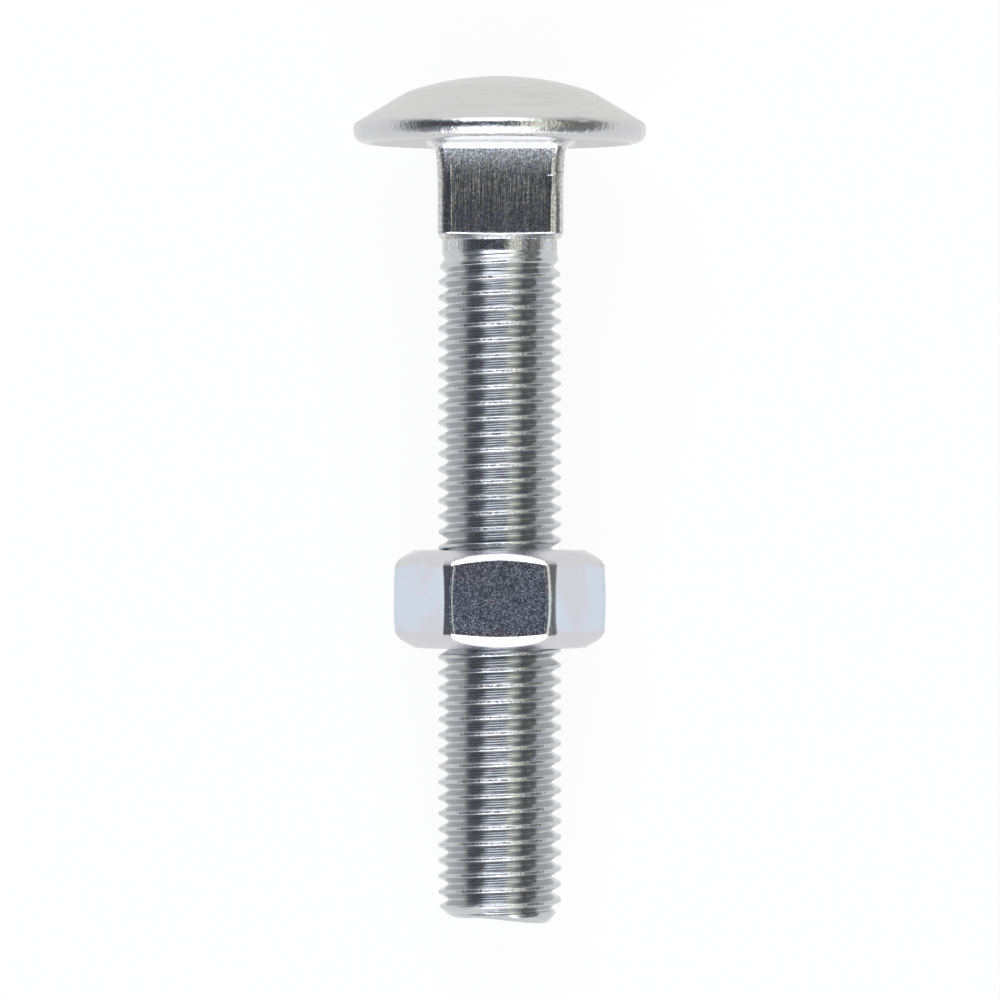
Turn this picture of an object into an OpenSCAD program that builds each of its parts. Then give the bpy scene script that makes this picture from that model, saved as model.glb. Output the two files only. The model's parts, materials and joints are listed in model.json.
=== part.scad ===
// Cup head square neck bolt with a hexagon nut run on to its thread.
// The bolt is drawn head up, with the face under its head at height 0, and the finished
// assembly is then laid down on the rim of the head and one flat of the nut.

/* [Head] */
// Diameter over the rim of the head
head_d = 37.5; // [35:0.1:40]
// Height of the head above the face it clamps with
head_h = 8.6; // [8.2:0.1:9.2]
// Radius of the crown, the round top of the head
crown_r = 36; // [34:0.5:44]
// Fall of the straight flank between crown and rim, in degrees
flank_angle = 31; // [29:0.5:34]
// Radius that blends the crown into the flank
blend_r = 8; // [4:0.5:12]
// Height of the upright band at the rim, up to where its top edge begins to round over
rim_h = 1.9; // [1.6:0.05:2.2]
// Rounding of the rim's upper edge
rim_top_r = 1; // [0.5:0.05:1.4]
// Rounding of the rim's lower edge
rim_low_r = 1.3; // [0.6:0.05:1.5]

/* [Square neck] */
// Width across the flats of the neck
neck_side = 15.85; // [15.3:0.05:16.7]
// Depth of the neck below the head, down to its lower bevel
neck_h = 11.7; // [9:0.1:13]
// Rounding of the neck's four upright corners
neck_corner_r = 1.5; // [0.6:0.1:3]
// Fillet between the neck and the head
neck_fillet_r = 0.9; // [0.4:0.05:1.5]
// Extra width that the forging draft leaves on each flat at the top of the neck
neck_draft = 0.5; // [0.1:0.05:0.8]
// Height over which that draft runs out
neck_draft_h = 6; // [3:0.5:8]
// Height of the bevel from the square neck down to the round shank
neck_bevel_h = 0.65; // [0.4:0.05:2]

/* [Shank and thread] */
// Length from the face under the head to the middle of the point
bolt_length = 99.2; // [88:0.2:140]
// Diameter of the plain shank that the thread is rolled on
shank_d = 14.7; // [14.5:0.05:14.9]
// Length of plain shank between the neck and the thread
shank_plain_h = 1.35; // [0.4:0.05:4]
// Diameter over the thread crests
thread_d = 15.7; // [15.5:0.05:15.95]
// Depth of the thread, from its crests to its roots
thread_depth = 1.2; // [0.9:0.05:1.25]
// Pitch of the thread
thread_pitch = 2; // [2:0.5:2.5]
// Width of the flat on the thread crests
thread_crest_w = 0.3; // [0.2:0.05:0.4]
// Length over which the first turns rise to their full height
thread_runout_h = 5; // [3:0.5:8]
// Turn of the whole thread about the bolt, in degrees
thread_clock = 351; // [0:1:359]
// Diameter at the tip of the point
point_d = 12.4; // [11:0.1:13]
// Length of the bevel at the point
point_h = 1.6; // [1:0.1:2.5]
// Slant of the sheared end, in degrees
point_slant = 4.4; // [0:0.2:8]

/* [Nut] */
// Width across the flats of the nut
nut_flats = 23.75; // [22:0.05:24]
// Height of the nut
nut_h = 12.5; // [12:0.1:16]
// Rounding of the nut's upright edges
nut_edge_r = 1.6; // [0.4:0.1:3]
// Diameter of the bearing circle that the bevels leave on both faces
nut_face_d = 21.9; // [21:0.1:22.5]
// Slope of those bevels from the face, in degrees
nut_bevel_angle = 30; // [15:1:35]
// Depth of the countersink at both mouths of the bore
nut_sink_h = 0.9; // [0.5:0.1:1.5]
// Distance from the face under the head to the upper face of the nut
nut_place = 52; // [30:2:80]
// Radial clearance between the bore of the nut and the thread crests
bore_gap = 0.2; // [0.15:0.05:0.4]

/* [Hidden] */

// Flats round one turn of the thread, and flanks of its two sides
thread_sides = 24;
thread_root_d = thread_d - 2 * thread_depth;
// A flank leans by 30 degrees, or less where the pitch has no room for that beside the crest
widest_flank = 0.49;
flank_w = min(thread_depth * tan(30), widest_flank * (thread_pitch - thread_crest_w));
// Steps in the arc of each rounded corner
corner_steps = 6;
// Overlap of forms that are joined inside the metal
sunk = 0.4;

// Heights along the bolt are counted down from the face under the head
shank_top = neck_h + neck_bevel_h;
thread_top = shank_top + shank_plain_h;

// Outline of the head
head_r = head_d / 2;
flank_normal = [sin(flank_angle), cos(flank_angle)];
flank_down = [cos(flank_angle), -sin(flank_angle)];
rim_top_c = [head_r - rim_top_r, rim_h];
rim_low_c = [head_r - rim_low_r, rim_low_r];
crown_c = [0, head_h - crown_r];
flank_reach = flank_normal * (rim_top_c - crown_c) + rim_top_r - blend_r;
blend_reach = crown_r - blend_r;
to_blend = flank_reach * flank_normal
    - sqrt(max(0, pow(blend_reach, 2) - pow(flank_reach, 2))) * flank_down;
blend_c = crown_c + to_blend;
blend_from = atan2(to_blend.y, to_blend.x);

// Outline of the nut
nut_r = nut_flats / 2;
nut_edge_reach = (nut_r - nut_edge_r) / cos(30);
nut_bevel_in_flat = (nut_r - nut_face_d / 2) * tan(nut_bevel_angle);
nut_over_r = nut_flats;
nut_over_h = (nut_over_r - nut_face_d / 2) * tan(nut_bevel_angle);
bore_r = thread_d / 2 + bore_gap;
sink_r = bore_r + nut_sink_h;

// How the bolt lies: its lowest points are the rim of the head and the far end of one flat
rest_run = nut_place + nut_h - nut_bevel_in_flat + rim_low_r;
rest_rise = head_r - rim_low_r - nut_r;
rest_tilt = atan2(rest_rise, rest_run) + asin(rim_low_r / norm([rest_run, rest_rise]));
rest_z = rim_low_r + rim_low_c.x * cos(rest_tilt) - rim_low_r * sin(rest_tilt);
rest_y = ((bolt_length - head_h) * cos(rest_tilt) + point_d / 2 * sin(rest_tilt)) / 2;

// Points along an arc of radius r about a centre, between two angles
function arc(centre, r, from, to, steps) =
    [for (i = [0:steps]) let (a = from + (to - from) * i / steps) centre + r * [cos(a), sin(a)]];

// One level of the neck: a square with rounded corners, at a depth below the head
function square_ring(side, corner, depth) =
    [for (q = [0:3])
        let (c = (side / 2 - corner) * [q % 3 == 0 ? 1 : -1, q < 2 ? 1 : -1])
        for (p = arc(c, corner, 90 * q, 90 * q + 90, corner_steps)) [p.x, p.y, -depth]];

// Half of what the neck is wider than its flats at a depth: fillet and draft
function neck_flare(depth) =
    let (in_fillet = max(0, neck_fillet_r - depth), in_draft = max(0, 1 - depth / neck_draft_h))
    neck_fillet_r - sqrt(pow(neck_fillet_r, 2) - pow(min(in_fillet, neck_fillet_r), 2))
        + neck_draft * pow(in_draft, 2);

// How far the thread has risen at a depth, from 0 on the plain shank to 1 where it is full
function thread_rise(depth) = sin(90 * min(1, max(0, depth - thread_top) / thread_runout_h));

// A solid through rings of as many points each, the first ring on top
module loft(rings) {
    n = len(rings[0]);
    last = n * (len(rings) - 1);
    polyhedron(
        points = [for (ring = rings) for (p = ring) p],
        faces = concat(
            [[for (i = [0:n - 1]) n - 1 - i]],
            [for (k = [0:len(rings) - 2]) for (i = [0:n - 1])
                let (a = n * k + i, b = n * k + (i + 1) % n)
                for (f = [[a, b, b + n], [a, b + n, a + n]]) f],
            [[for (i = [0:n - 1]) last + i]]));
}

// Cup head: crown, blend, straight flank and rounded rim
module head() {
    outline = concat(
        arc(crown_c, crown_r, 90, blend_from, 8),
        arc(blend_c, blend_r, blend_from, 90 - flank_angle, 3),
        arc(rim_top_c, rim_top_r, 90 - flank_angle, 0, 5),
        arc(rim_low_c, rim_low_r, 0, -90, 6),
        [[0, 0]]);
    rotate_extrude($fn = 96) polygon(outline);
}

// Square neck: wider where it leaves the head, and turned into a circle by its lower bevel
module neck() {
    flare_steps = [0, 0.03, 0.12, 0.3, 0.55, 1];
    draft_steps = [0.45, 0.7, 1];
    bevel_steps = [0, 0.25, 0.6, 1];
    depths = concat(
        [for (t = flare_steps) t * neck_fillet_r],
        [for (t = draft_steps) neck_fillet_r + t * (neck_draft_h - neck_fillet_r)]);
    upper = [for (d = depths) square_ring(neck_side + 2 * neck_flare(d), neck_corner_r, d)];
    lower = [for (t = bevel_steps)
        let (
            side = neck_side + t * (shank_d - neck_side),
            corner = neck_corner_r + pow(t, 1.5) * (0.98 * shank_d / 2 - neck_corner_r))
        square_ring(side, corner, neck_h + t * neck_bevel_h)];
    top = square_ring(neck_side + 2 * neck_flare(0), neck_corner_r, -sunk);
    loft(concat([top], upper, lower));
}

// Right-hand thread as one solid: a helical grid of root, flank, crest and flank
module thread_body() {
    start = shank_top - sunk;
    turns = ceil((bolt_length - start) / thread_pitch) + 2;
    rows = 4 * turns;
    core = shank_d / 2 - 0.05;
    places = [0, thread_crest_w, thread_crest_w + flank_w, thread_pitch - flank_w];
    radii = [thread_d / 2, thread_d / 2, thread_root_d / 2, thread_root_d / 2];
    // The point of one row and one side of the helical grid
    function at(k, j) =
        let (
            depth = start + thread_pitch * (floor(k / 4) - j / thread_sides + 1) + places[k % 4],
            r = core + thread_rise(depth) * (radii[k % 4] - core),
            a = 360 * j / thread_sides)
        [r * cos(a), r * sin(a), -depth];
    n = thread_sides;
    top_loop = concat([for (j = [0:n - 1]) j], [for (k = [1:4]) n * k + n - 1]);
    low_loop = concat([for (j = [0:n - 1]) n * rows + j], [for (k = [4:-1:1]) n * (rows - k)]);
    grid = n * (rows + 1);
    rotate(thread_clock) polyhedron(
        points = concat(
            [for (k = [0:rows]) for (j = [0:n - 1]) at(k, j)],
            [[0, 0, -start - thread_pitch / 2], [0, 0, at(rows, n / 2).z]]),
        faces = concat(
            [for (k = [0:rows - 1]) for (j = [0:n - 2])
                let (a = n * k + j)
                for (f = [[a, a + 1, a + n + 1], [a, a + n + 1, a + n]]) f],
            [for (k = [4:rows - 1])
                let (a = n * k + n - 1, b = n * (k - 4))
                for (f = [[a, b, b + n], [a, b + n, a + n]]) f],
            [for (i = [0:len(top_loop) - 1])
                [grid, top_loop[(i + 1) % len(top_loop)], top_loop[i]]],
            [for (i = [0:len(low_loop) - 1])
                [grid + 1, low_loop[i], low_loop[(i + 1) % len(low_loop)]]]));
}

// The thread cut to length: bevelled point and slanted, sheared end
module thread() {
    clear_r = thread_d;
    wide_h = (clear_r - point_d / 2) * point_h / (thread_d - point_d) * 2;
    tip = bolt_length + thread_d / 2 * tan(point_slant);
    difference() {
        intersection() {
            thread_body();
            rotate_extrude($fn = 96) polygon([
                [0, 0], [clear_r, 0], [clear_r, wide_h - bolt_length],
                [point_d / 2 - (tip - bolt_length) * clear_r / wide_h, -tip], [0, -tip]]);
        }
        translate([0, 0, -bolt_length]) rotate([0, point_slant, 0])
            translate([-2 * thread_d, -2 * thread_d, -thread_d]) cube([4 * thread_d, 4 * thread_d, thread_d]);
    }
}

// The whole bolt, forged and rolled from one piece
module bolt_upright() {
    head();
    neck();
    translate([0, 0, -thread_top]) cylinder(h = thread_top - neck_h, d = shank_d, $fn = 96);
    thread();
}

// Section of the nut: a hexagon with rounded corners
module nut_section() {
    polygon([for (side = [0:5])
        let (a = 60 * side)
        for (p = arc(nut_edge_reach * [cos(a), sin(a)], nut_edge_r, a - 30, a + 30, corner_steps)) p]);
}

// Hexagon nut, bevelled on both faces, with its upper face at height 0
module nut_upright() {
    difference() {
        intersection() {
            translate([0, 0, -nut_h]) linear_extrude(height = nut_h) nut_section();
            rotate_extrude($fn = 96) polygon([
                [0, 0], [nut_face_d / 2, 0], [nut_over_r, -nut_over_h],
                [nut_over_r, nut_over_h - nut_h], [nut_face_d / 2, -nut_h], [0, -nut_h]]);
        }
        translate([0, 0, -nut_h - 1]) cylinder(h = nut_h + 2, r = bore_r, $fn = 96);
        translate([0, 0, -nut_sink_h]) cylinder(h = nut_sink_h, r1 = bore_r, r2 = sink_r, $fn = 96);
        translate([0, 0, -nut_h]) cylinder(h = nut_sink_h, r1 = sink_r, r2 = bore_r, $fn = 96);
    }
}

// Lays what is drawn head up on its side, head towards +Y, resting on the ground
module laid_down() {
    translate([0, rest_y, rest_z]) rotate([rest_tilt - 90, 0, 0]) children();
}

module carriage_bolt() {
    color([0.80, 0.80, 0.81]) laid_down() bolt_upright();
}

module hex_nut() {
    color([0.72, 0.73, 0.76]) laid_down() translate([0, 0, -nut_place]) nut_upright();
}

carriage_bolt();
hex_nut();
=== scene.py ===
"""Zinc plated cup head square neck bolt with a hexagon nut on its thread, laid on a white studio floor.

The bolt and the nut are worked out as whole arrays in a frame of their own, in millimetres: x to the
right, y to the back and z along the axis towards the head, with the face under the head at z = 0.
A depth is counted the other way, from that face towards the point.
"""

from __future__ import annotations

import json
import logging
import math
from dataclasses import dataclass, field
from enum import Enum
from functools import reduce

import bpy
import numpy as np
from mathutils import Matrix, Vector


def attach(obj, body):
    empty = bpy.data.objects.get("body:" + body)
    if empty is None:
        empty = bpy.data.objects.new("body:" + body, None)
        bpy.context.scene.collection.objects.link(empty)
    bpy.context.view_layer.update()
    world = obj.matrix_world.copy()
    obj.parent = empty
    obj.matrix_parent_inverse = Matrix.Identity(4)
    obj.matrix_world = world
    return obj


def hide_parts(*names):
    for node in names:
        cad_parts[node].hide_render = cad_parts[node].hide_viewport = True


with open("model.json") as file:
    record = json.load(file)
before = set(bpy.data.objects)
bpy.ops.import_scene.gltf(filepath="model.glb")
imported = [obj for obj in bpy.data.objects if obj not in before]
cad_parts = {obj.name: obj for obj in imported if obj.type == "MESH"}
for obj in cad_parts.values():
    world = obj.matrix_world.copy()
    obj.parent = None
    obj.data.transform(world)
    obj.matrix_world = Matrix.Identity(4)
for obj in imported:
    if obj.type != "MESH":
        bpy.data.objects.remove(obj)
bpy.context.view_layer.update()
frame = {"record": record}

LOG = logging.getLogger("carriage_bolt")
MM = 0.001
PITCH = 2.0
CREST_DEPTH = 0.2
WELD_DIGITS = 4
SHARP_ANGLE = math.radians(50)
# Half of the angle between two sides of a hexagon.
HEX_HALF = math.radians(30)

# A pair that tells where a smooth step begins and ends, or the middle and the width of a bell.
Span = tuple[float, float]
# Where a shader's smooth step begins and ends, and its values there.
Shade = tuple[float, float, float, float]
Colour = tuple[float, float, float, float]
Tone = float | tuple[float, float, float]
Profile = tuple[tuple[float, float], ...]
Link = bpy.types.NodeSocket
Value = float | tuple | Link
Inputs = dict[str | int, Value]


class Zone(Enum):
    """The zones of a piece, as channels of the colour attribute "zone": differently finished zones, and on
    the bolt a fourth that marks the thread's crests for their relief and the fillet under the head for a
    painted highlight.
    """

    DOME = 0
    NECK = 1
    THREAD = 2
    HIGHLIGHT_AND_CREST = 3


class Seed(Enum):
    """Seeds of the uneven surfaces."""

    SHEARED_END = 3
    CREST_SEAM = 5
    THREAD_RUN = 11
    CREST_EDGE = 23


@dataclass(frozen=True)
class Lie:
    """How the bolt lies in the row frame.

    Attributes:
        seat: Point on the axis in the plane of the face under the head, in metres.
        head_way: Unit direction of the axis towards the head.
        right_way: Unit direction to the right of the photograph.
        front_way: Unit direction out of the side that the photograph shows.
    """

    seat: np.ndarray
    head_way: np.ndarray
    right_way: np.ndarray
    front_way: np.ndarray

    @classmethod
    def from_record(cls, record: dict) -> Lie:
        """Reads the lie from the mount under the head.

        Args:
            record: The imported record.

        Returns:
            The lie of the bolt's axis.
        """
        mount = next(m for m in record["mounts"] if m["name"] == "head_seat")
        head_way = -np.array(mount["axis"], float)
        head_way /= np.linalg.norm(head_way)
        right_way = np.array([1.0, 0.0, 0.0])
        return cls(np.array(mount["pos_m"], float), head_way, right_way, np.cross(right_way, head_way))

    def place(self, points: np.ndarray) -> np.ndarray:
        """Carries points into the row frame, in metres: seat + x right - y front + z head."""
        turned = (
            points[..., 0:1] * self.right_way
            - points[..., 1:2] * self.front_way
            + points[..., 2:3] * self.head_way
        )
        return self.seat + turned * MM

    def matrix(self) -> np.ndarray:
        """Returns the 3 by 3 matrix whose rows are the bolt's own x, y and z directions."""
        return np.stack([self.right_way, -self.front_way, self.head_way])


def smooth(value: np.ndarray | float, low: float, high: float) -> np.ndarray:
    """Smooth step from 0 at low to 1 at high: t * t * (3 - 2 t)."""
    t = np.clip((np.asarray(value, float) - low) / (high - low), 0, 1)
    return t * t * (3 - 2 * t)


def bell(value: np.ndarray, middle: float, width: float) -> np.ndarray:
    """Bell curve: exp(-((value - middle) / width)^2)."""
    return np.exp(-(((value - middle) / width) ** 2))


def polar(radius: np.ndarray | float, angle: np.ndarray, height: np.ndarray | float) -> np.ndarray:
    """Points round the axis: (radius cos angle, radius sin angle, height), angle in radians."""
    return np.stack(np.broadcast_arrays(radius * np.cos(angle), radius * np.sin(angle), height), -1)


def arc(centre: np.ndarray, radius: float, start: float, end: float, steps: int) -> np.ndarray:
    """Points on an arc: centre + radius * (cos a, sin a) for a from start to end degrees."""
    a = np.radians(np.linspace(start, end, steps + 1))
    return np.array(centre) + radius * np.stack([np.cos(a), np.sin(a)], 1)


def bend(start: np.ndarray, corner: np.ndarray, end: np.ndarray, steps: int) -> np.ndarray:
    """Curve that rounds a corner: (1 - t)^2 start + 2 t (1 - t) corner + t^2 end, t in the first axis."""
    t = np.linspace(0, 1, steps + 1).reshape(-1, *([1] * np.ndim(start)))
    return (1 - t) ** 2 * start + 2 * t * (1 - t) * corner + t**2 * end


def ripple(x: np.ndarray, y: np.ndarray | float, seed: Seed, waves: int = 9) -> np.ndarray:
    """Seeded smooth unevenness: the mean of sines of random direction and phase over x and y.

    Args:
        x: First coordinate, of about one period a unit.
        y: Second coordinate, of about one period a unit.
        seed: Seed of the random draws.
        waves: Number of sines.

    Returns:
        Values of about -1 to 1.
    """
    draw = np.random.default_rng(seed.value)
    total = np.zeros(np.broadcast(x, y).shape)
    for kx, ky, phase in draw.uniform(-1, 1, (waves, 3)) * [2 * math.pi, 2 * math.pi, math.pi]:
        total += np.sin(kx * x + ky * y + phase)
    return total / math.sqrt(waves)


def helix(profile: Profile, top: float, low: float) -> tuple[np.ndarray, np.ndarray, np.ndarray, int]:
    """Rows of a thread between two depths: its profile, mirrored about the crest, once a pitch.

    Args:
        profile: Place and radius, from the middle of the crest to the middle of the root.
        top: Depth at which the rows are needed first.
        low: Depth at which they are needed last.

    Returns:
        Depth of its crest, place beside the crest and radius of each row, each rows by 1, and the
        number of rows in a pitch.
    """
    half = np.array(profile)
    whole = np.concatenate([half[-2:0:-1] * [-1, 1], half])
    first = math.floor((top - CREST_DEPTH) / PITCH) - 1
    turns = math.ceil((low - CREST_DEPTH) / PITCH) - first + 2
    crest = CREST_DEPTH + PITCH * (first + np.repeat(np.arange(turns), len(whole)))
    place, radius = np.tile(whole, (turns, 1)).T
    return crest[:, None], place[:, None], radius[:, None], len(whole)


def profile_lengths(points: np.ndarray) -> np.ndarray:
    """Length at each row and at the closing one: the sum of the widest steps between the rows."""
    steps = np.linalg.norm(points - np.roll(points, 1, axis=0), axis=2).max(axis=1)
    return np.append(np.cumsum(np.append(0, steps[1:])), steps.sum())


def stack(bands: list[tuple[np.ndarray, dict[Zone, np.ndarray | float]]]) -> tuple[np.ndarray, np.ndarray]:
    """Stacks bands of rows into one grid.

    Args:
        bands: The rows of each band, and its masks by zone.

    Returns:
        The grid of points, and the grid of four masks.
    """
    points = np.concatenate([rows for rows, _ in bands])
    zones = np.zeros((*points.shape[:2], len(Zone)))
    start = 0
    for rows, masks in bands:
        for zone, mask in masks.items():
            zones[start : start + len(rows), :, zone.value] = mask
        start += len(rows)
    return points, zones


def link(name: str, data: bpy.types.ID) -> bpy.types.Object:
    """Makes an object of a mesh, lamp or camera, and links it to the scene."""
    obj = bpy.data.objects.new(name, data)
    bpy.context.scene.collection.objects.link(obj)
    return obj


@dataclass
class Shell:
    """A closed mesh gathered from a grid of rows and columns.

    Attributes:
        points: Grid of points, rows by columns by 3, in the bolt's frame in millimetres.
        around: Length round the axis at each column and at the closing one, for the UV map.
        zones: Grid of four masks, for the colour attribute "zone".
        row_shift: For each row, how many rows further up its last column meets the first column.
        ring: True where the last row meets the first, as on the nut.
    """

    points: np.ndarray
    around: np.ndarray
    zones: np.ndarray
    row_shift: np.ndarray
    ring: bool = False

    def faces(self) -> tuple[np.ndarray, np.ndarray]:
        """Joins each grid point to its neighbours, and the last column to the first.

        Returns:
            Quads of grid indices, and the UV place of each of their corners.
        """
        rows, columns = self.points.shape[:2]
        along = profile_lengths(self.points)
        last = rows if self.ring else rows - 1
        k, j = np.meshgrid(np.arange(last), np.arange(columns), indexing="ij")
        corners, lay = [], []
        for dk, dj in ((0, 0), (1, 0), (1, 1), (0, 1)):
            row = (k + dk) % rows
            column = j + dj
            row = np.where(column == columns, row - self.row_shift[row], row)
            corners.append((row * columns + column % columns).ravel())
            lay.append(np.stack([self.around[column].ravel(), along[k + dk].ravel()], 1))
        return np.stack(corners, 1), np.stack(lay, 1)

    def build(self, name: str, lie: Lie) -> bpy.types.Object:
        """Welds the grid into one closed mesh in the row frame, with its UV map and zones.

        Args:
            name: Name of the object and its mesh.
            lie: How the bolt lies in the row frame.

        Returns:
            The new object, linked to the scene.
        """
        flat = self.points.reshape(-1, 3)
        quads, lay = self.faces()
        rounded = np.round(flat, WELD_DIGITS)
        _, first, weld = np.unique(rounded, axis=0, return_index=True, return_inverse=True)
        welded = weld.ravel()[quads]
        sides = np.stack([welded[:, i] != welded[:, (i + 1) % 4] for i in range(4)], 1)
        keep = (sides.sum(1) >= 3) & (welded[:, 0] != welded[:, 2]) & (welded[:, 1] != welded[:, 3])
        lay, welded, sides = lay[keep], welded[keep], sides[keep]
        used, compact = np.unique(welded, return_inverse=True)
        welded = compact.reshape(welded.shape)
        full = sides.all(1)
        loops = np.concatenate([welded[full].ravel(), welded[~full][sides[~full]]])
        places = np.concatenate([lay[full].reshape(-1, 2), lay[~full][sides[~full]]])
        lengths = np.concatenate([np.full(full.sum(), 4), sides[~full].sum(1)]).astype(np.int32)
        mesh = bpy.data.meshes.new(name)
        mesh.vertices.add(len(used))
        mesh.vertices.foreach_set("co", lie.place(flat[first[used]]).astype(np.float32).ravel())
        mesh.loops.add(len(loops))
        mesh.loops.foreach_set("vertex_index", loops.astype(np.int32))
        mesh.polygons.add(len(lengths))
        mesh.polygons.foreach_set("loop_start", (np.cumsum(lengths) - lengths).astype(np.int32))
        mesh.update(calc_edges=True)
        mesh.validate()
        mesh.uv_layers.new(name="lay").data.foreach_set("uv", places.astype(np.float32).ravel())
        zone = mesh.color_attributes.new(name="zone", type="FLOAT_COLOR", domain="POINT")
        zone.data.foreach_set("color", self.zones.reshape(-1, 4)[first[used]].astype(np.float32).ravel())
        mesh.polygons.foreach_set("use_smooth", np.ones(len(lengths), bool))
        mesh.set_sharp_from_angle(angle=SHARP_ANGLE)
        LOG.info("%s: %d vertices, %d faces", name, len(used), len(lengths))
        return link(name, mesh)


@dataclass(frozen=True)
class ForgingFold:
    """Forging fold on the neck's right front corner: the corner stands proud below a sharp,
    slanted step and is pressed in above it.

    Spans are places across the corner or depths, in millimetres.
    """

    angle: float = -45.0
    slant: float = 0.28
    lip: Span = (-0.9, 0.5)
    lip_height: float = 0.16
    lip_start: Span = (3.9, 4.15)
    lip_fade: Span = (4.8, 8.0)
    press: Span = (0.1, 0.8)
    press_depth: float = 0.12
    press_start: Span = (0.8, 1.6)
    press_end: Span = (3.86, 4.12)
    levels: tuple[float, float, float] = (3.55, 4.6, 0.1)

    def shift(self, ring: np.ndarray, depth: float) -> np.ndarray:
        """Moves one level along the corner's diagonal: a bell across the corner times a step in
        depth, outwards below the fold and inwards above it.

        Args:
            ring: Points x and y of one level.
            depth: Depth of the level.

        Returns:
            The shifted points.
        """
        out = np.array([math.cos(math.radians(self.angle)), math.sin(math.radians(self.angle))])
        across = ring @ np.array([-out[1], out[0]])
        here = ring @ out > 0
        step = depth + self.slant * across
        below = smooth(step, *self.lip_start) * (1 - smooth(depth, *self.lip_fade))
        above = smooth(depth, *self.press_start) * (1 - smooth(step, *self.press_end))
        way = self.lip_height * below * bell(across, *self.lip)
        way = way - self.press_depth * above * bell(across, *self.press)
        return ring + (way * here)[:, None] * out


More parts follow.
